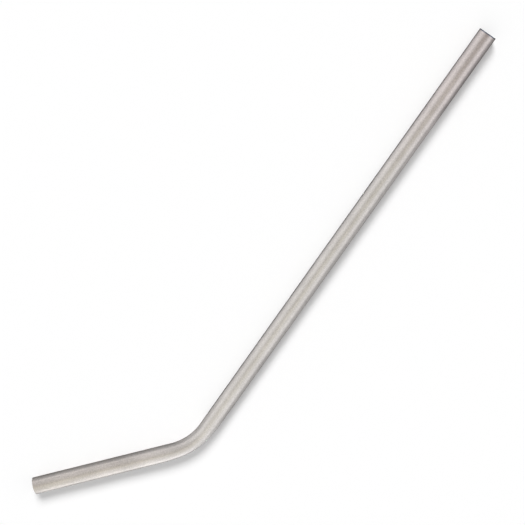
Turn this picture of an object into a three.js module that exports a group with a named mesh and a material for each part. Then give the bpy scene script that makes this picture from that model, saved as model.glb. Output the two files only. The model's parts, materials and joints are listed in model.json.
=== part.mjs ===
// Bent metal drinking straw: one thin-walled tube, open at both ends, with a single bend below the
// mouthpiece. Millimetres, +Z up. The straw lies on its side with the bend's plane level: the long
// stem runs along +X and the short mouthpiece turns away towards -X and +Y. The origin is under the
// middle of the straw, on the surface that it lies on.

import * as THREE from "three";

// The tube, before it is bent
const tubeDiameter = 6.35;
const wallThickness = 0.5;
const rimRounding = 0.16;

// The centreline: straight stem, one bend, straight mouthpiece
const stemLength = 174.4;
const mouthpieceLength = 53.7;
const bendRadius = 22;
const bendAngle = THREE.MathUtils.degToRad(42);

// Round the outside of the bend the stretched wall sinks in. The sunk stretch runs out a little into
// both straight arms and fades at its ends. The inside, which lay in the groove of the forming
// wheel, keeps its round section and the tube's full height.
const outsideSink = 0.5;
const sinkRunOut = 4.5;
const sinkFadeLength = 8;

// Facets
const facetsRound = 48;
const facetsAlongBend = 18;
const facetsInRunOut = 4;
const facetsInRounding = 3;

const outerRadius = tubeDiameter / 2;
const boreRadius = outerRadius - wallThickness;
const bendLength = bendRadius * bendAngle;
const tubeLength = mouthpieceLength + bendLength + stemLength;
const edgeRadius = Math.min(rimRounding, 0.4 * wallThickness);

// A quarter round at one corner of the tube's wall, as profile points of (radius, length along tube)
function roundedCorner(radius, length, startAngle) {
  const endAngle = startAngle + Math.PI / 2;
  const corner = new THREE.EllipseCurve(radius, length, edgeRadius, edgeRadius, startAngle, endAngle);
  return corner.getPoints(facetsInRounding);
}

// The rings that let one wall follow the bend and its sunk outside, from the mouthpiece to the stem
function bendRings(radius) {
  const bendEnd = mouthpieceLength + bendLength;
  const stretches = [
    [mouthpieceLength - sinkRunOut, mouthpieceLength, facetsInRunOut],
    [mouthpieceLength, bendEnd, facetsAlongBend],
    [bendEnd, bendEnd + sinkRunOut, facetsInRunOut],
  ];
  const rings = [];
  for (const [start, end, facets] of stretches) {
    for (let i = 0; i < facets; i++) {
      rings.push(new THREE.Vector2(radius, start + ((end - start) * i) / facets));
    }
  }
  rings.push(new THREE.Vector2(radius, bendEnd + sinkRunOut));
  return rings;
}

// The wall's section, once round: up the outside, over the stem's rim, back down the bore and over
// the mouthpiece's rim. Each rim keeps a flat ring between its two rounded edges.
function wallProfile() {
  const outerEdge = outerRadius - edgeRadius;
  const boreEdge = boreRadius + edgeRadius;
  const mouthpieceEdge = edgeRadius;
  const stemEdge = tubeLength - edgeRadius;
  const profile = [
    ...roundedCorner(outerEdge, mouthpieceEdge, -Math.PI / 2),
    ...bendRings(outerRadius),
    ...roundedCorner(outerEdge, stemEdge, 0),
    ...roundedCorner(boreEdge, stemEdge, Math.PI / 2),
    ...bendRings(boreRadius).reverse(),
    ...roundedCorner(boreEdge, mouthpieceEdge, Math.PI),
  ];
  profile.push(profile[0].clone());
  return profile;
}

// How far the outside of the bend has sunk in, at a distance back from the start of the stem
function sinkAt(distance) {
  const fullDepth = sinkFadeLength - sinkRunOut;
  const fadeIn = THREE.MathUtils.smoothstep(distance, -sinkRunOut, fullDepth);
  const fadeOut = THREE.MathUtils.smoothstep(bendLength - distance, -sinkRunOut, fullDepth);
  return outsideSink * fadeIn * fadeOut;
}

// Carries a point of the straight tube to its place on the bent one. The straight tube stands along
// Y, with +X on the side that becomes the outside of the bend.
function bentPoint(point) {
  const distance = mouthpieceLength + bendLength - point.y;
  const turn = THREE.MathUtils.clamp(distance / bendRadius, 0, bendAngle);
  const straightRun = distance - turn * bendRadius;
  const outwards = new THREE.Vector3(-Math.sin(turn), -Math.cos(turn), 0);
  const onwards = new THREE.Vector3(-Math.cos(turn), Math.sin(turn), 0);

  const radius = Math.hypot(point.x, point.z);
  const squeeze = point.x > 0 ? 1 - sinkAt(distance) / radius : 1;
  const bendCentre = new THREE.Vector3(0, bendRadius, point.z);
  return bendCentre
    .addScaledVector(outwards, bendRadius + point.x * squeeze)
    .addScaledVector(onwards, straightRun);
}

function bentTubeGeometry() {
  const geometry = new THREE.LatheGeometry(wallProfile(), facetsRound);
  const positions = geometry.getAttribute("position");
  const point = new THREE.Vector3();
  for (let i = 0; i < positions.count; i++) {
    point.fromBufferAttribute(positions, i);
    positions.setXYZ(i, ...bentPoint(point).toArray());
  }
  geometry.computeVertexNormals();
  geometry.computeBoundingBox();
  return geometry;
}

const satinTitanium = new THREE.MeshStandardMaterial({
  color: 0xc3bdb6,
  roughness: 0.4,
  metalness: 1,
});

const strawTube = new THREE.Mesh(bentTubeGeometry(), satinTitanium);
strawTube.name = "straw_tube";
const middle = strawTube.geometry.boundingBox.getCenter(new THREE.Vector3());
strawTube.position.set(-middle.x, -middle.y, outerRadius);

const straw = new THREE.Group();
straw.add(strawTube);

export default straw;
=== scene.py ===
"""Looks of a bent metal drinking straw: a finely meshed titanium tube lying on a pale studio floor.

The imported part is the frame. Its box and its two rims place the tube that is made here, so the
tube lies exactly where the part's own does. Lengths are in metres and angles in radians.
"""

import json
import math
from collections import namedtuple

import bpy
import numpy as np
from bpy.props import FloatProperty, FloatVectorProperty, IntProperty, PointerProperty
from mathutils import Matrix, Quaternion, Vector


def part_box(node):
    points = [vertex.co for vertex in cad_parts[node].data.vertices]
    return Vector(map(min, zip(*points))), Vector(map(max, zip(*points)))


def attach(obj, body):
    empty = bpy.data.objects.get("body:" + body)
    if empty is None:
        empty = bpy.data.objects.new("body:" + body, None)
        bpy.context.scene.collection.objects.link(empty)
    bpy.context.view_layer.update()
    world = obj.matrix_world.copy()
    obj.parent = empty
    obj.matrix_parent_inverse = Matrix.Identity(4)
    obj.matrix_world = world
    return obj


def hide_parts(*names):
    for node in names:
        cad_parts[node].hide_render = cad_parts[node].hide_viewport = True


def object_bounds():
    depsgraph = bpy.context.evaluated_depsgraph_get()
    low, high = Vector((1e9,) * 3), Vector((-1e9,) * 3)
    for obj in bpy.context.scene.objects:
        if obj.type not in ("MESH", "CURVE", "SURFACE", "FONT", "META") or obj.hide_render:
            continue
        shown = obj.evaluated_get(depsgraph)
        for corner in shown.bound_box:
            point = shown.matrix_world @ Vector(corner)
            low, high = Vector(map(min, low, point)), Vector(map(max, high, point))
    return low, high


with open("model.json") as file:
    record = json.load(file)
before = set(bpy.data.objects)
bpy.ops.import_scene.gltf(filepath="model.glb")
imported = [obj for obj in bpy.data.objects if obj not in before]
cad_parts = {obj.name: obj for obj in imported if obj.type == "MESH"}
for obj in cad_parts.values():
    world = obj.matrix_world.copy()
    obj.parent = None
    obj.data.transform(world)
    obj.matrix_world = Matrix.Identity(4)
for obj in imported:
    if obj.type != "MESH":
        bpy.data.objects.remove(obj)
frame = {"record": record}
CAD_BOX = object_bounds()

bl_info = {
    "name": "Bent Metal Straw",
    "version": (1, 0, 0),
    "blender": (4, 5, 0),
    "location": "3D View > Sidebar > Straw",
    "description": "Makes a bent titanium drinking straw and a pale studio to show it in",
    "category": "Add Mesh",
}

TUBE_LOW, TUBE_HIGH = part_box("straw_tube")
RIMS = {mount["name"]: mount for mount in frame["record"]["mounts"]}
MM = 0.001

# Where each mark on the metal starts to fade and where it is gone: distances from the nearer rim,
# and for the bore's colour distances out from the bore's face
STEM_BLUSH = (15 * MM, 65 * MM)
MOUTHPIECE_HANDLING = (30 * MM, 65 * MM)
MOUTHPIECE_DARKENING = (8 * MM, 24 * MM)
STEM_CUT = (0.2 * MM, 0.5 * MM)
MOUTHPIECE_CUT = (0.15 * MM, 0.3 * MM)
BORE_FACE = (0.04 * MM, 0.12 * MM)

# The streak, a painted dark reflection, and the darkening of the mouthpiece's tip fade to each side
# by e to the power (n - 1) / softness, where n is the cosine of the turn away from their middle.
# The streak also fades with the distance from its rim.
PAINTED_REFLECTION_SOFTNESS = 0.03
PAINTED_REFLECTION_FADE = 22 * MM
DARKENING_SOFTNESS = 0.05

# The size of the clouds and draw marks in the metal's tone. The wide clouds are read from another
# stretch of the noise, and the squash along the tube draws the draw marks out.
CLOUD_SIZE = 7 * MM
WIDE_CLOUD_SIZE = 11 * MM
WIDE_CLOUD_START = (0.0, 301 * MM, 0.0)
DRAW_MARK_WIDTH = 0.3 * MM
DRAW_MARK_SQUASH = (1.0, 0.02, 1.0)

# How strongly each pattern burnishes the metal
GRAIN_STRENGTH = 2.4
EXTRA_MOUTHPIECE_GRAIN = 0.5
CLOUD_STRENGTH = 0.6
WIDE_CLOUD_STRENGTH = 1.3
DRAW_MARK_STRENGTH = 0.2

# How much rougher the bore and how much smoother the cut edges are than the tumbled metal, and how
# much roughness varies over the grain
ROUGHNESS_CHANGE = 0.1

# Depth of the draw marks, as a part of the grain's
DRAW_MARK_DEPTH = 0.3

# The largest rounding of a rim's edges, as a part of the wall
LARGEST_ROUNDING = 0.4

# The floor and the cards lie just under the tube, the cards over the floor
FLOOR_DROP = 0.02 * MM
CARD_DROP = 0.01 * MM

# The surroundings' light never falls below this where dark panels overlap
LEAST_LIGHT = 0.03

# The camera's sensor in millimetres, and the nearest and farthest it sees in metres
SENSOR_WIDTH = 36
CAMERA_RANGE = (0.01, 20)

# The soft panels that the metal mirrors. Azimuth runs from +X towards +Y and both angles are in
# degrees. Softness is about half the square of the panel's half width, in radians. Light is added
# to the surroundings at the panel's middle, so a dark panel's light is below zero. The places and
# the light were fitted to the brightness across the straw in the photograph.
Panel = namedtuple("Panel", "azimuth elevation softness light")
PANELS = (
    Panel(29.4, 67.6, 0.010, (2.53, 2.49, 2.49)),
    Panel(-137.5, 6.8, 0.006, (2.30, 2.38, 2.43)),
    Panel(-139.5, 14.3, 0.010, (1.81, 1.96, 2.01)),
    Panel(75.3, 3.4, 0.008, (1.60, 1.50, 1.50)),
    Panel(152.9, 75.6, 0.021, (1.16, 1.20, 1.03)),
    Panel(114.0, 71.7, 0.099, (-0.97, -1.02, -1.07)),
    Panel(-8.4, 54.0, 0.047, (-1.44, -1.52, -1.44)),
    Panel(-13.5, 81.2, 0.022, (-1.44, -1.52, -1.45)),
    Panel(-96.1, 0.0, 0.080, (-1.48, -1.50, -1.45)),
    Panel(65.8, 24.1, 0.019, (-1.44, -1.52, -1.48)),
    Panel(73.2, 52.4, 0.006, (-1.46, -1.51, -1.50)),
)


# Sizes and finishes


class StrawTubeSizes(bpy.types.PropertyGroup):
    """Sizes of the tube. The rims give the lengths of both arms and the angle between them."""

    diameter: FloatProperty(
        name="Tube Diameter",
        description="Outside diameter of the tube",
        default=TUBE_HIGH.z - TUBE_LOW.z,
        min=1 * MM,
        unit="LENGTH",
    )
    wall: FloatProperty(
        name="Wall",
        description="Thickness of the tube's wall",
        default=0.5 * MM,
        min=0.1 * MM,
        unit="LENGTH",
    )
    rim_rounding: FloatProperty(
        name="Rim Rounding",
        description="Radius of the rounded edges of both rims",
        default=0.17 * MM,
        min=0.01 * MM,
        unit="LENGTH",
    )
    bend_radius: FloatProperty(
        name="Bend Radius",
        description="Radius of the tube's centreline round the bend",
        default=22 * MM,
        min=5 * MM,
        unit="LENGTH",
    )
    outside_sink: FloatProperty(
        name="Outside Sink",
        description="How far the stretched outside of the bend sinks in",
        default=0.5 * MM,
        min=0,
        unit="LENGTH",
    )
    sink_run_out: FloatProperty(
        name="Sink Run Out",
        description="How far the sunk outside runs out of the bend into each straight arm",
        default=4.5 * MM,
        min=0,
        unit="LENGTH",
    )
    sink_fade: FloatProperty(
        name="Sink Fade",
        description="Length over which the sunk outside fades at each of its ends",
        default=8 * MM,
        min=0.5 * MM,
        unit="LENGTH",
    )


class SatinTitaniumFinish(bpy.types.PropertyGroup):
    """Colours, marks and grain of tumbled titanium."""

    colour: FloatVectorProperty(
        name="Colour",
        description="Colour of the satin metal",
        default=(0.616, 0.588, 0.573),
        size=3,
        min=0,
        max=1,
        subtype="COLOR",
    )
    dull_colour: FloatVectorProperty(
        name="Dull Colour",
        description="Colour of the metal between the burnished spots of the grain",
        default=(0.431, 0.411, 0.4),
        size=3,
        min=0,
        max=1,
        subtype="COLOR",
    )
    bore_colour: FloatVectorProperty(
        name="Bore Colour",
        description="Colour of the untumbled metal in the bore",
        default=(0.46, 0.435, 0.42),
        size=3,
        min=0,
        max=1,
        subtype="COLOR",
    )
    cut_colour: FloatVectorProperty(
        name="Cut Colour",
        description="Colour that the heat of cutting left on the stem's rim",
        default=(0.13, 0.145, 0.19),
        size=3,
        min=0,
        max=1,
        subtype="COLOR",
    )
    blush: FloatVectorProperty(
        name="Blush",
        description="Share of each colour that the tint of the stem's end takes away",
        default=(0, 0.04, 0.028),
        size=3,
        min=0,
        max=1,
    )
    handling: FloatVectorProperty(
        name="Handling",
        description="Share of each colour that the tint of the mouthpiece takes away",
        default=(0, 0.018, 0.034),
        size=3,
        min=0,
        max=1,
    )
    # The streak is a painted reflection: a dark band painted into the colour along the top of the
    # stem's end
    streak: FloatVectorProperty(
        name="Streak",
        description="Share of each colour that the dark streak on the stem's end takes away",
        default=(0.24, 0.25, 0.25),
        size=3,
        min=0,
        max=1,
    )
    # Where round the tube the painted reflection streak lies
    painted_reflection_angle: FloatProperty(
        name="Streak Angle",
        description="Turn of the streak's middle from the top towards the inside of the bend",
        default=math.radians(14.5),
        subtype="ANGLE",
    )
    # Darkens the colour on a patch near the top of the mouthpiece's tip
    darkening: FloatVectorProperty(
        name="Darkening",
        description="Share of each colour that the stain on the mouthpiece's tip takes away",
        default=(0.13, 0.135, 0.16),
        size=3,
        min=0,
        max=1,
    )
    darkening_angle: FloatProperty(
        name="Stain Angle",
        description="Turn of the stain's middle from the top towards the inside of the bend",
        default=math.radians(-6),
        subtype="ANGLE",
    )
    roughness: FloatProperty(
        name="Roughness",
        description="Roughness of the tumbled surface",
        default=0.4,
        min=0,
        max=1,
        subtype="FACTOR",
    )
    grain_size: FloatProperty(
        name="Grain Size",
        description="Size of the marks that the tumbling leaves",
        default=0.4 * MM,
        min=0.02 * MM,
        unit="LENGTH",
    )
    grain_depth: FloatProperty(
        name="Grain Depth",
        description="Depth of the marks that the tumbling leaves",
        default=0.012 * MM,
        min=0,
        unit="LENGTH",
    )


class StudioSettings(bpy.types.PropertyGroup):
    """The floor, the cards, the lamp, the pale surroundings and the camera."""

    floor_size: FloatProperty(
        name="Floor Size",
        description="Width of the square floor",
        default=6.0,
        min=1.0,
        unit="LENGTH",
    )
    floor_colour: FloatProperty(
        name="Floor Colour",
        description="How much of the lamp's light the floor sends back",
        default=0.78,
        min=0,
        max=1,
        subtype="FACTOR",
    )
    floor_glow: FloatProperty(
        name="Floor Glow",
        description="How bright the floor looks where no light reaches it",
        default=0.18,
        min=0,
        max=1,
    )
    key_level: FloatProperty(
        name="Key Level",
        description="Brightness that the lamp gives to a white floor",
        default=0.66,
        min=0,
    )
    key_azimuth: FloatProperty(
        name="Key Azimuth",
        description="Direction on the floor in which the lamp stands, from +X towards +Y",
        default=math.radians(38.4),
        subtype="ANGLE",
    )
    key_elevation: FloatProperty(
        name="Key Elevation",
        description="Height of the lamp above the floor, as an angle",
        default=math.radians(40.0),
        subtype="ANGLE",
    )
    key_width: FloatProperty(
        name="Key Width",
        description="Width of the lamp, as the straw sees it",
        default=math.radians(20.6),
        subtype="ANGLE",
    )
    fill_level: FloatProperty(
        name="Fill Level",
        description="Brightness of the surroundings for surfaces that aren't glossy",
        default=0.39,
        min=0,
    )
    surroundings: FloatVectorProperty(
        name="Surroundings Colour",
        description="Light of the surroundings that the metal mirrors, between the panels",
        default=(1.414, 1.420, 1.401),
        size=3,
        min=0,
    )
    grey_card_level: FloatProperty(
        name="Grey Card Level",
        description="Brightness of the card on the inside of the mouthpiece",
        default=0.521,
        min=0,
    )
    grey_card_reach: FloatVectorProperty(
        name="Grey Card Reach",
        description="Where the grey card starts and ends along the mouthpiece and aside of it",
        default=(7 * MM, 90 * MM, 3.5 * MM, 80 * MM),
        size=4,
        unit="LENGTH",
    )
    white_card_level: FloatProperty(
        name="White Card Level",
        description="Brightness of the card on the outside of the mouthpiece",
        default=2.034,
        min=0,
    )
    white_card_colour: FloatVectorProperty(
        name="White Card Colour",
        description="Colour of the card on the outside of the mouthpiece",
        default=(0.965, 1.0, 1.02),
        size=3,
        min=0,
        subtype="COLOR",
    )
    white_card_reach: FloatVectorProperty(
        name="White Card Reach",
        description="Where the white card starts and ends along the mouthpiece and aside of it",
        default=(-17 * MM, 90 * MM, 0, -60 * MM),
        size=4,
        unit="LENGTH",
    )
    dark_card_level: FloatProperty(
        name="Dark Card Level",
        description="Brightness of the card on the inside of the stem",
        default=0.08,
        min=0,
    )
    dark_card_reach: FloatVectorProperty(
        name="Dark Card Reach",
        description="Where the dark card starts and ends along the stem and aside of it",
        default=(12 * MM, 190 * MM, 0, 6 * MM),
        size=4,
        unit="LENGTH",
    )
    pale_card_level: FloatProperty(
        name="Pale Card Level",
        description="Brightness of the card beyond the dark one",
        default=1.05,
        min=0,
    )
    pale_card_reach: FloatVectorProperty(
        name="Pale Card Reach",
        description="Where the pale card starts and ends along the stem and aside of it",
        default=(12 * MM, 135 * MM, 6.5 * MM, 45 * MM),
        size=4,
        unit="LENGTH",
    )
    end_card_level: FloatProperty(
        name="End Card Level",
        description="Brightness of the card on the outside of the stem's end",
        default=0.4,
        min=0,
    )
    end_card_reach: FloatVectorProperty(
        name="End Card Reach",
        description="Where the end card starts and ends along the stem and aside of it",
        default=(150 * MM, 215 * MM, -8 * MM, -60 * MM),
        size=4,
        unit="LENGTH",
    )
    lens: FloatProperty(
        name="Lens",
        description="Focal length of the camera on a 36 mm sensor, in millimetres",
        default=84.643,
        min=10,
    )
    aim: FloatVectorProperty(
        name="Aim",
        description="Point that the camera looks at, from the middle of the straw",
        default=(6.759 * MM, -1.669 * MM, 0),
        size=3,
        unit="LENGTH",
    )
    camera_distance: FloatProperty(
        name="Camera Distance",
        description="Distance from the camera to the point that it looks at",
        default=437.7 * MM,
        min=0.1,
        unit="LENGTH",
    )
    camera_azimuth: FloatProperty(
        name="Camera Azimuth",
        description="Turn of the camera round the straw, from -Y towards +X",
        default=math.radians(129.015),
        subtype="ANGLE",
    )
    camera_elevation: FloatProperty(
        name="Camera Elevation",
        description="Height of the camera above the floor, as an angle",
        default=math.radians(71.133),
        subtype="ANGLE",
    )
    camera_roll: FloatProperty(
        name="Camera Roll",
        description="Turn of the camera about its own line of sight, from upright",
        default=math.radians(174.227),
        subtype="ANGLE",
    )


class StrawFacets(bpy.types.PropertyGroup):
    """How finely the tube is meshed."""

    around: IntProperty(
        name="Around",
        description="Columns of faces round the tube",
        default=160,
        min=12,
    )
    along_bend: IntProperty(
        name="Along Bend",
        description="Rings of faces along the bend and the sunk stretches beyond it",
        default=100,
        min=6,
    )
    in_rounding: IntProperty(
        name="In Rounding",
        description="Rings of faces in each rounded edge of a rim",
        default=8,
        min=2,
    )
    straight_step: FloatProperty(
        name="Straight Step",
        description="Length of the faces along the straight arms",
        default=2.5 * MM,
        min=0.5 * MM,
        unit="LENGTH",
    )


# Shader nodes


class Value:
    """A number that comes out of a node. Arithmetic on it adds Math nodes."""

    def __init__(self, shader, socket):
        self.shader = shader
        self.socket = socket

    def __add__(self, other):
        return self.shader.maths("ADD", self, other)

    def __radd__(self, other):
        return self.shader.maths("ADD", other, self)

    def __sub__(self, other):
        return self.shader.maths("SUBTRACT", self, other)

    def __rsub__(self, other):
        return self.shader.maths("SUBTRACT", other, self)

    def __mul__(self, other):
        return self.shader.maths("MULTIPLY", self, other)

    def __rmul__(self, other):
        return self.shader.maths("MULTIPLY", other, self)

    def __truediv__(self, other):
        return self.shader.maths("DIVIDE", self, other)

    def __rtruediv__(self, other):
        return self.shader.maths("DIVIDE", other, self)


class Shader:
    """The node tree of one material or world."""

    def __init__(self, owner):
        owner.use_nodes = True
        self.tree = owner.node_tree
        self.tree.nodes.clear()

    def add(self, kind, settings=None, inputs=None):
        """Adds a node. Its settings are set first, then each input, by name or by number, takes
        a value or a link."""
        node = self.tree.nodes.new(kind)
        for name, setting in (settings or {}).items():
            setattr(node, name, setting)
        for name, given in (inputs or {}).items():
            source = given.socket if isinstance(given, Value) else given
            if isinstance(source, bpy.types.NodeSocket):
                self.tree.links.new(source, node.inputs[name])
            else:
                node.inputs[name].default_value = source
        return node

    def value(self, node, output=0):
        return Value(self, node.outputs[output])

    def maths(self, operation, *numbers):
        node = self.add("ShaderNodeMath", {"operation": operation}, dict(enumerate(numbers)))
        return self.value(node)

    def vector_maths(self, operation, *vectors, output="Vector"):
        node = self.add("ShaderNodeVectorMath", {"operation": operation}, dict(enumerate(vectors)))
        return self.value(node, output)

    def smooth_between(self, number, low, high):
        """0 below low and 1 above high, with a smooth step between them."""
        settings = {"interpolation_type": "SMOOTHSTEP"}
        inputs = {"Value": number, "From Min": low, "From Max": high}
        return self.value(self.add("ShaderNodeMapRange", settings, inputs))

    def noise(self, place, feature_size, detail=2.0, roughness=0.5):
        """Noise from 0 to 1 whose blotches measure about feature_size."""
        inputs = {
            "Vector": place,
            "Scale": 1 / feature_size,
            "Detail": detail,
            "Roughness": roughness,
        }
        return self.value(self.add("ShaderNodeTexNoise", inputs=inputs), "Fac")

    def blend(self, factor, first, second):
        """A colour between two others. The Mix node keeps its colours at inputs 6 and 7 and at
        output 2."""
        settings = {"data_type": "RGBA", "clamp_factor": True}
        return self.value(self.add("ShaderNodeMix", settings, {0: factor, 6: first, 7: second}), 2)


def opaque(colour):
    return (*colour, 1.0)


def satin_titanium(finish, sizes, tube_length):
    """Bare titanium with a tumbled satin grain.

    The patterns read the place that each point had on the straight tube, so they follow the bend.
    The stem's end blushes, and the mouthpiece is yellower and mottled, with a stronger grain. A
    dark streak, a painted reflection, runs along the top of the stem's end and fades towards the
    bend, and the mouthpiece's tip is darker near its top. The cut edges are smoother, the stem's
    also darker and blue, and the bore is duller and rougher.
    """
    material = bpy.data.materials.new("satin_titanium")
    shader = Shader(material)
    attribute = shader.add("ShaderNodeAttribute", {"attribute_name": "place_on_straight_tube"})
    place = shader.value(attribute, "Vector")
    from_mouth = shader.value(shader.add("ShaderNodeSeparateXYZ", inputs={0: place}), "Y")
    from_stem = tube_length - from_mouth
    round_place = shader.vector_maths("MULTIPLY", place, (1.0, 0.0, 1.0))
    radius = shader.vector_maths("LENGTH", round_place, output="Value")

    def within(distance, reach):
        """1 up to where the reach starts, fading smoothly to 0 where it ends."""
        return 1 - shader.smooth_between(distance, *reach)

    def beside(turn, softness):
        """(n - 1) / softness, where n is the cosine of the angle on the outer face between a point
        and a turn from the top towards the inside of the bend."""
        middle = Vector((-math.sin(turn), 0.0, math.cos(turn))) / (sizes.diameter / 2)
        return (shader.vector_maths("DOT_PRODUCT", place, middle, output="Value") - 1) / softness

    stem_end = within(from_stem, STEM_BLUSH)
    mouth_end = within(from_mouth, MOUTHPIECE_HANDLING)
    stem_cut = within(from_stem, STEM_CUT)
    mouth_cut = within(from_mouth, MOUTHPIECE_CUT)
    bore = within(radius - (sizes.diameter / 2 - sizes.wall), BORE_FACE)
    # Painted reflection: a dark streak painted into the colour along the top of the stem's end,
    # fading towards the bend
    along_painted_reflection = from_stem / PAINTED_REFLECTION_FADE
    streak = shader.maths("EXPONENT", beside(finish.painted_reflection_angle, PAINTED_REFLECTION_SOFTNESS) - along_painted_reflection)
    # A darker patch near the top of the mouthpiece's tip
    tip = within(from_mouth, MOUTHPIECE_DARKENING)
    darkening = tip * shader.maths("EXPONENT", beside(finish.darkening_angle, DARKENING_SOFTNESS))

    grain = shader.noise(place, finish.grain_size, detail=3.0, roughness=0.6)
    clouds = shader.noise(place, CLOUD_SIZE)
    draw_place = shader.vector_maths("MULTIPLY", place, DRAW_MARK_SQUASH)
    draw_marks = shader.noise(draw_place, DRAW_MARK_WIDTH)
    wide_place = shader.vector_maths("ADD", place, WIDE_CLOUD_START)
    wide_clouds = shader.noise(wide_place, WIDE_CLOUD_SIZE, detail=1.0)
    patterns = (
        (grain, GRAIN_STRENGTH + mouth_end * EXTRA_MOUTHPIECE_GRAIN),
        (clouds, CLOUD_STRENGTH),
        (wide_clouds, mouth_end * WIDE_CLOUD_STRENGTH),
        (draw_marks, DRAW_MARK_STRENGTH),
    )
    burnish = 0.5
    for pattern, strength in patterns:
        burnish = burnish + (pattern - 0.5) * strength
    tone = shader.blend(burnish, opaque(finish.dull_colour), opaque(finish.colour))

    kept = (1.0, 1.0, 1.0)
    # The blush and the mouthpiece's tint are tints of the metal, the streak is a painted dark
    # reflection, and the tip is darkened near its top
    marks = (
        (stem_end, finish.blush),
        (mouth_end, finish.handling),
        (streak, finish.streak),
        (darkening, finish.darkening),
    )
    for mask, taken in marks:
        kept = shader.vector_maths("MULTIPLY_ADD", mask, tuple(-share for share in taken), kept)
    tone = shader.vector_maths("MULTIPLY", tone, kept)
    tone = shader.blend(bore, tone, opaque(finish.bore_colour))
    colour = shader.blend(stem_cut, tone, opaque(finish.cut_colour))
    rougher = (grain - 0.5) + bore - (stem_cut + mouth_cut)
    roughness = finish.roughness + rougher * ROUGHNESS_CHANGE

    height = grain + draw_marks * DRAW_MARK_DEPTH
    inputs = {"Strength": 1.0, "Distance": finish.grain_depth, "Height": height}
    bump = shader.add("ShaderNodeBump", inputs=inputs)
    metal = shader.add(
        "ShaderNodeBsdfPrincipled",
        inputs={
            "Base Color": colour,
            "Metallic": 1.0,
            "Roughness": roughness,
            "Specular Tint": opaque((0.0, 0.0, 0.0)),
            "Normal": bump.outputs["Normal"],
        },
    )
    shader.add("ShaderNodeOutputMaterial", inputs={"Surface": metal.outputs["BSDF"]})
    return material


# The tube

# Where the stem's rim is, the unit vectors along the stem and towards the inside of the bend, the
# bend's angle, and the distances from where the arms' centrelines meet to both rims
Arms = namedtuple("Arms", "stem_end stem_axis inwards angle stem_reach mouth_reach")


def arms():
    """How both arms lie, worked out from the two rims.

    The arms' centrelines meet where the stem's rim less its reach along the stem is also the
    mouthpiece's rim less its own reach along the mouthpiece, and that gives both reaches. The
    inside of the bend is where the mouthpiece's axis points, less its part along the stem. The
    bend's angle is the one between the mouthpiece's axis and the stem's turned round.
    """
    stem_rim, mouth_rim = RIMS["stem_end_rim"], RIMS["mouthpiece_end_rim"]
    stem_end, mouth_end = np.array(stem_rim["pos_m"][:2]), np.array(mouth_rim["pos_m"][:2])
    stem_axis = np.array(stem_rim["axis"][:2], dtype=float)
    mouth_axis = np.array(mouth_rim["axis"][:2])
    both_axes = np.column_stack([stem_axis, -mouth_axis])
    stem_reach, mouth_reach = np.linalg.solve(both_axes, stem_end - mouth_end)
    inwards = mouth_axis - (mouth_axis @ stem_axis) * stem_axis
    inwards = inwards / np.linalg.norm(inwards)
    angle = math.acos(-mouth_axis @ stem_axis)
    return Arms(stem_end, stem_axis, inwards, angle, stem_reach, mouth_reach)


class Centreline:
    """The straight stem, the bend and the straight mouthpiece that the tube follows.

    The straight part of each arm is the arm's reach less the bend's radius times the tangent of
    half the bend's angle, and the bend is as long as its radius times its angle.
    """

    def __init__(self, sizes):
        lie = arms()
        tangent = sizes.bend_radius * math.tan(lie.angle / 2)
        self.stem_axis, self.inwards, self.angle = lie.stem_axis, lie.inwards, lie.angle
        self.radius = sizes.bend_radius
        self.stem = lie.stem_reach - tangent
        self.mouthpiece = lie.mouth_reach - tangent
        self.bend = self.radius * self.angle
        self.length = self.mouthpiece + self.bend + self.stem
        self.bend_start = lie.stem_end - self.stem * self.stem_axis
        self.height = (TUBE_LOW.z + TUBE_HIGH.z) / 2


def smoothstep(value, low, high):
    """0 below low and 1 above high. Between them it is p squared times 3 less 2p, where p is the
    part of the way from low to high."""
    part = np.clip((value - low) / (high - low), 0, 1)
    return part * part * (3 - 2 * part)


def wall_profile(sizes, facets, line):
    """The wall's section as two arrays, radius and length along the tube.

    It runs once round the wall: up the outside, over the stem's rim, back down the bore and over
    the mouthpiece's rim. Each rounded edge is a quarter circle about a point one rounding in from
    both faces, so each rim keeps a flat ring between its edges.
    """
    outer = sizes.diameter / 2
    bore = outer - sizes.wall
    edge = min(sizes.rim_rounding, LARGEST_ROUNDING * sizes.wall)
    sunk_start = line.mouthpiece - sizes.sink_run_out
    sunk_end = line.mouthpiece + line.bend + sizes.sink_run_out
    mouth_steps = round(sunk_start / facets.straight_step)
    stem_steps = round((line.length - sunk_end) / facets.straight_step)
    walls = np.concatenate([
        np.linspace(edge, sunk_start, mouth_steps, endpoint=False)[1:],
        np.linspace(sunk_start, sunk_end, facets.along_bend, endpoint=False),
        np.linspace(sunk_end, line.length - edge, stem_steps, endpoint=False),
    ])
    quarter = np.linspace(0, math.pi / 2, facets.in_rounding + 1)

    def rounded_edge(radius, length, start):
        return radius + edge * np.cos(start + quarter), length + edge * np.sin(start + quarter)

    stretches = [
        rounded_edge(outer - edge, edge, -math.pi / 2),
        (np.full(len(walls), outer), walls),
        rounded_edge(outer - edge, line.length - edge, 0),
        rounded_edge(bore + edge, line.length - edge, math.pi / 2),
        (np.full(len(walls), bore), walls[::-1]),
        rounded_edge(bore + edge, edge, math.pi),
    ]
    radii, lengths = (np.concatenate(parts) for parts in zip(*stretches))
    return radii, lengths


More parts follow.
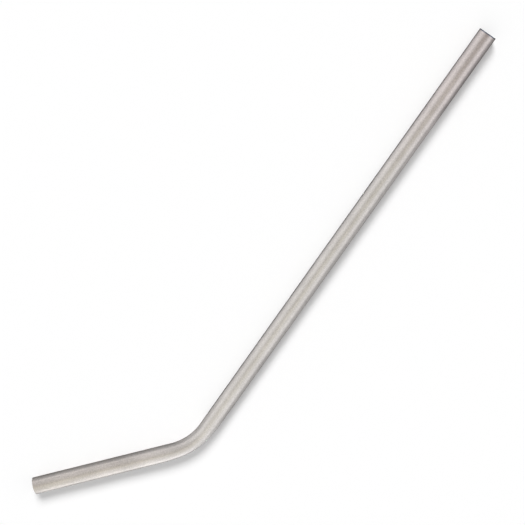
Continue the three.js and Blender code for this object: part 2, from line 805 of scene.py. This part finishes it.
def bent_places(sizes, line, across, length, upwards):
    """Carries points of the straight tube to their places on the bent one.

    across, length and upwards are a point's place on the straight tube: across is positive on the
    outside of the bend, and length starts at the mouthpiece's rim. The distance back from the
    start of the stem, divided by the bend's radius and held between 0 and the bend's angle, is the
    turn; what is left of the distance is a straight run. The point lies at the bend's centre, plus
    the radius and across along the turned direction that points outwards, plus the straight run
    along the one that points onwards. Points on the outside of the bend are drawn towards the
    centreline by the sink, which starts one run-out before the bend, ends one run-out after it,
    and fades smoothly at both ends.
    """
    distance = line.mouthpiece + line.bend - length
    turn = np.clip(distance / line.radius, 0, line.angle)
    run = distance - turn * line.radius
    full_depth = sizes.sink_fade - sizes.sink_run_out
    sink = (
        sizes.outside_sink
        * smoothstep(distance, -sizes.sink_run_out, full_depth)
        * smoothstep(line.bend - distance, -sizes.sink_run_out, full_depth)
    )
    from_centre = np.hypot(across, upwards)
    across = np.where(across > 0, across * (1 - sink / from_centre), across)
    sine, cosine = np.sin(turn)[..., None], np.cos(turn)[..., None]
    outwards = -sine * line.stem_axis - cosine * line.inwards
    onwards = -cosine * line.stem_axis + sine * line.inwards
    centre = line.bend_start + line.radius * line.inwards
    flat = centre + outwards * (line.radius + across)[..., None] + onwards * run[..., None]
    return np.concatenate([flat, (line.height + upwards)[..., None]], axis=-1)


def strip_places(radii, lengths, columns, strips=6, side_gap=0.012, end_gap=0.003):
    """Places of every face's corners on a square map.

    The wall's section is cut into strips of about equal length, which stand side by side on the
    map. Across a strip goes the way round the tube: a corner's column over the number of columns,
    so the last column of faces ends at 1 and doesn't go back to 0. Up the strip goes the distance
    along the section from the strip's own start, over the tallest strip's whole length.
    """
    steps = np.hypot(np.diff(radii, append=radii[0]), np.diff(lengths, append=lengths[0]))
    ends = np.cumsum(steps)
    starts = ends - steps
    strip = np.minimum((starts * strips / ends[-1]).astype(int), strips - 1)
    strip_start = starts[np.searchsorted(strip, np.arange(strips))][strip]
    tallest = (ends - strip_start).max()
    low, high = (starts - strip_start) / tallest, (ends - strip_start) / tallest
    left, right = np.arange(columns) / columns, np.arange(1, columns + 1) / columns

    def on_map(sideways, upwards):
        sideways, upwards = np.broadcast_arrays(sideways[None, :], upwards[:, None])
        from_left = (strip[:, None] + side_gap + (1 - 2 * side_gap) * sideways) / strips
        return np.stack([from_left, end_gap + (1 - 2 * end_gap) * upwards], axis=-1)

    corners = [on_map(left, low), on_map(left, high), on_map(right, high), on_map(right, low)]
    return np.stack(corners, axis=-2)


def ring_mesh(name, places, straight_places, map_places):
    """A mesh over a grid of places that closes on itself both ways, with smooth faces.

    The face between rings i and i + 1 and columns j and j + 1 has those four corners, counted so
    that it points away from the wall's inside.
    """
    rings, columns = places.shape[:2]
    ring, column = np.meshgrid(np.arange(rings), np.arange(columns), indexing="ij")
    next_ring, next_column = (ring + 1) % rings, (column + 1) % columns
    corners = np.stack(
        [
            ring * columns + column,
            next_ring * columns + column,
            next_ring * columns + next_column,
            ring * columns + next_column,
        ],
        axis=-1,
    )
    mesh = bpy.data.meshes.new(name)
    mesh.vertices.add(rings * columns)
    mesh.vertices.foreach_set("co", places.astype(np.float32).ravel())
    mesh.loops.add(corners.size)
    mesh.loops.foreach_set("vertex_index", corners.astype(np.int32).ravel())
    mesh.polygons.add(rings * columns)
    mesh.polygons.foreach_set("loop_start", np.arange(0, corners.size, 4, dtype=np.int32))
    mesh.polygons.foreach_set("use_smooth", np.ones(rings * columns, dtype=bool))
    attribute = mesh.attributes.new("place_on_straight_tube", "FLOAT_VECTOR", "POINT")
    attribute.data.foreach_set("vector", straight_places.astype(np.float32).ravel())
    uv_map = mesh.uv_layers.new(name="OFBake")
    uv_map.data.foreach_set("uv", map_places.astype(np.float32).ravel())
    mesh.update(calc_edges=True)
    mesh.validate()
    return mesh


class STRAW_OT_bent_tube(bpy.types.Operator):
    """Make the bent tube in satin titanium"""

    bl_idname = "straw.bent_tube"
    bl_label = "Bent Tube"

    def execute(self, context):
        scene = context.scene
        sizes, facets = scene.straw_tube_sizes, scene.straw_facets
        line = Centreline(sizes)
        radii, lengths = wall_profile(sizes, facets, line)
        angles = np.linspace(0, 2 * math.pi, facets.around, endpoint=False)
        across = radii[:, None] * np.cos(angles)
        upwards = radii[:, None] * np.sin(angles)
        length = np.broadcast_to(lengths[:, None], across.shape)
        places = bent_places(sizes, line, across, length, upwards)
        straight_places = np.stack([across, length, upwards], axis=-1)
        map_places = strip_places(radii, lengths, facets.around)
        mesh = ring_mesh("bent_tube", places, straight_places, map_places)
        tube = bpy.data.objects.new("bent_tube", mesh)
        scene.collection.objects.link(tube)
        finish = satin_titanium(scene.satin_titanium_finish, sizes, line.length)
        mesh.materials.append(finish)
        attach(tube, "root")
        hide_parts("straw_tube")
        return {"FINISHED"}


# The studio


def direction(azimuth, elevation):
    """A unit vector at an azimuth, from +X towards +Y, and an elevation above the floor."""
    level = math.cos(elevation)
    return Vector((level * math.cos(azimuth), level * math.sin(azimuth), math.sin(elevation)))


def lay_flat(scene, name, corners, material):
    """A single flat face with a material, over four corners."""
    mesh = bpy.data.meshes.new(name)
    mesh.from_pydata(corners, [], [(0, 1, 2, 3)])
    mesh.materials.append(material)
    sheet = bpy.data.objects.new(name, mesh)
    scene.collection.objects.link(sheet)
    return sheet


def make_floor(scene, studio):
    """A square floor that takes the straw's shadow. To the camera and the metal it glows a little
    too, so that it shows white where the lamp lights it."""
    material = bpy.data.materials.new("pale_floor")
    shader = Shader(material)
    sight = shader.add("ShaderNodeLightPath")
    straight = shader.value(sight, "Is Camera Ray") + shader.value(sight, "Is Transmission Ray")
    seen = straight + shader.value(sight, "Is Glossy Ray")
    paint = shader.add("ShaderNodeBsdfDiffuse", inputs={"Color": opaque([studio.floor_colour] * 3)})
    glow = shader.add("ShaderNodeEmission", inputs={"Strength": seen * studio.floor_glow})
    both = shader.add("ShaderNodeAddShader", inputs={0: paint.outputs[0], 1: glow.outputs[0]})
    shader.add("ShaderNodeOutputMaterial", inputs={"Surface": both.outputs[0]})

    half, level = studio.floor_size / 2, TUBE_LOW.z - FLOOR_DROP
    corners = [(x * half, y * half, level) for x, y in ((-1, -1), (1, -1), (1, 1), (-1, 1))]
    floor = lay_flat(scene, "studio_floor", corners, material)


def make_card(scene, name, brightness, along, aside, reach, colour=(1.0, 1.0, 1.0)):
    """A card on the floor beside one arm that only the metal sees. Its reach is where it starts
    and ends along the arm, counted from where the two arms' centrelines meet, and where it starts
    and ends aside of it."""
    material = bpy.data.materials.new(name)
    shader = Shader(material)
    inputs = {"Color": opaque(colour), "Strength": brightness}
    tone = shader.add("ShaderNodeEmission", inputs=inputs)
    shader.add("ShaderNodeOutputMaterial", inputs={"Surface": tone.outputs[0]})

    lie = arms()
    meeting = lie.stem_end - lie.stem_reach * lie.stem_axis
    start, end, near, far = reach
    reaches = ((start, near), (start, far), (end, far), (end, near))
    spots = [meeting + along * onwards + aside * away for onwards, away in reaches]
    corners = [(*spot, TUBE_LOW.z - CARD_DROP) for spot in spots]
    card = lay_flat(scene, name, corners, material)
    card.visible_camera = card.visible_diffuse = card.visible_shadow = False


def make_cards(scene, studio):
    """A grey card on the inside of the mouthpiece, a white one on its outside, on the inside of
    the stem a narrow dark one with a pale one beyond it, and a grey one outside the stem's end."""
    lie = arms()
    cosine, sine = math.cos(lie.angle), math.sin(lie.angle)
    mouthpiece = (
        sine * lie.inwards - cosine * lie.stem_axis,
        cosine * lie.inwards + sine * lie.stem_axis,
    )
    stem = (lie.stem_axis, lie.inwards)
    white = studio.white_card_colour
    make_card(scene, "grey_card", studio.grey_card_level, *mouthpiece, studio.grey_card_reach)
    make_card(
        scene, "white_card", studio.white_card_level, *mouthpiece, studio.white_card_reach, white
    )
    make_card(scene, "dark_card", studio.dark_card_level, *stem, studio.dark_card_reach)
    make_card(scene, "pale_card", studio.pale_card_level, *stem, studio.pale_card_reach)
    make_card(scene, "end_card", studio.end_card_level, *stem, studio.end_card_reach)


def make_key_lamp(scene, studio):
    """A wide lamp that lights the floor and casts the straw's shadow. The metal doesn't mirror
    it."""
    lamp = bpy.data.lights.new("key_lamp", "SUN")
    lamp.angle = studio.key_width
    lamp.energy = math.pi * studio.key_level / math.sin(studio.key_elevation)
    key = bpy.data.objects.new("key_lamp", lamp)
    towards = direction(studio.key_azimuth, studio.key_elevation)
    key.rotation_mode = "QUATERNION"
    key.rotation_quaternion = towards.to_track_quat("Z", "Y")
    key.visible_glossy = False
    scene.collection.objects.link(key)


def make_surroundings(scene, studio):
    """A pale studio all round: white to the camera, dim to the floor, and to the metal an even
    tone with soft panels.

    A panel adds its light times e to the power (d - 1) / softness, where d is the dot product of
    the mirrored direction and the panel's own.
    """
    world = bpy.data.worlds.new("pale_studio")
    scene.world = world
    shader = Shader(world)
    world.cycles.sampling_method = "NONE"
    sight = shader.add("ShaderNodeLightPath")
    camera = shader.value(sight, "Is Camera Ray") + shader.value(sight, "Is Transmission Ray")
    glossy = shader.value(sight, "Is Glossy Ray")
    towards = shader.value(shader.add("ShaderNodeTexCoord"), "Generated")
    mirrored = tuple(studio.surroundings)
    for panel in PANELS:
        middle = direction(math.radians(panel.azimuth), math.radians(panel.elevation))
        nearness = shader.vector_maths("DOT_PRODUCT", towards, middle, output="Value")
        strength = shader.maths("EXPONENT", (nearness - 1) / panel.softness)
        mirrored = shader.vector_maths("MULTIPLY_ADD", strength, panel.light, mirrored)
    mirrored = shader.vector_maths("MAXIMUM", mirrored, (LEAST_LIGHT,) * 3)
    elsewhere = camera + (1 - camera - glossy) * studio.fill_level
    light = shader.vector_maths("MULTIPLY_ADD", mirrored, glossy, elsewhere)
    background = shader.add("ShaderNodeBackground", inputs={"Color": light, "Strength": 1.0})
    shader.add("ShaderNodeOutputWorld", inputs={"Surface": background.outputs[0]})


def make_camera(scene, studio):
    """The camera, at the photograph's viewing angle."""
    camera = bpy.data.objects.new("camera", bpy.data.cameras.new("camera"))
    camera.data.lens = studio.lens
    camera.data.sensor_width = SENSOR_WIDTH
    camera.data.clip_start, camera.data.clip_end = CAMERA_RANGE
    aim = (CAD_BOX[0] + CAD_BOX[1]) / 2 + Vector(studio.aim)
    back = direction(studio.camera_azimuth - math.pi / 2, studio.camera_elevation)
    upright = (-back).to_track_quat("-Z", "Y")
    camera.location = aim + back * studio.camera_distance
    camera.rotation_mode = "QUATERNION"
    camera.rotation_quaternion = upright @ Quaternion((0, 0, 1), studio.camera_roll)
    scene.collection.objects.link(camera)
    scene.camera = camera


class STRAW_OT_studio(bpy.types.Operator):
    """Make the floor, the cards, the lamp, the pale surroundings and the camera"""

    bl_idname = "straw.studio"
    bl_label = "Studio"

    def execute(self, context):
        scene = context.scene
        studio = scene.straw_studio
        make_floor(scene, studio)
        make_cards(scene, studio)
        make_key_lamp(scene, studio)
        make_surroundings(scene, studio)
        make_camera(scene, studio)
        scene.view_settings.view_transform = "Standard"
        return {"FINISHED"}


# The sidebar


class STRAW_PT_workshop(bpy.types.Panel):
    """Lists the straw's sizes, finish and studio, with a button that makes each"""

    bl_label = "Bent Metal Straw"
    bl_space_type = "VIEW_3D"
    bl_region_type = "UI"
    bl_category = "Straw"

    def draw(self, context):
        scene = context.scene
        groups = {
            "Tube": (scene.straw_tube_sizes, scene.straw_facets, scene.satin_titanium_finish),
            "Studio": (scene.straw_studio,),
        }
        buttons = {"Tube": STRAW_OT_bent_tube.bl_idname, "Studio": STRAW_OT_studio.bl_idname}
        for title, settings in groups.items():
            box = self.layout.box()
            box.label(text=title)
            for group in settings:
                for name in group.__annotations__:
                    box.prop(group, name)
            box.operator(buttons[title])


SETTINGS = {
    "straw_tube_sizes": StrawTubeSizes,
    "straw_facets": StrawFacets,
    "satin_titanium_finish": SatinTitaniumFinish,
    "straw_studio": StudioSettings,
}
CLASSES = (*SETTINGS.values(), STRAW_OT_bent_tube, STRAW_OT_studio, STRAW_PT_workshop)


def register():
    for cls in CLASSES:
        bpy.utils.register_class(cls)
    for name, group in SETTINGS.items():
        setattr(bpy.types.Scene, name, PointerProperty(type=group))


def unregister():
    for name in SETTINGS:
        delattr(bpy.types.Scene, name)
    for cls in reversed(CLASSES):
        bpy.utils.unregister_class(cls)


def main():
    register()
    bpy.ops.straw.bent_tube()
    bpy.ops.straw.studio()


if __name__ == "__main__":
    main()
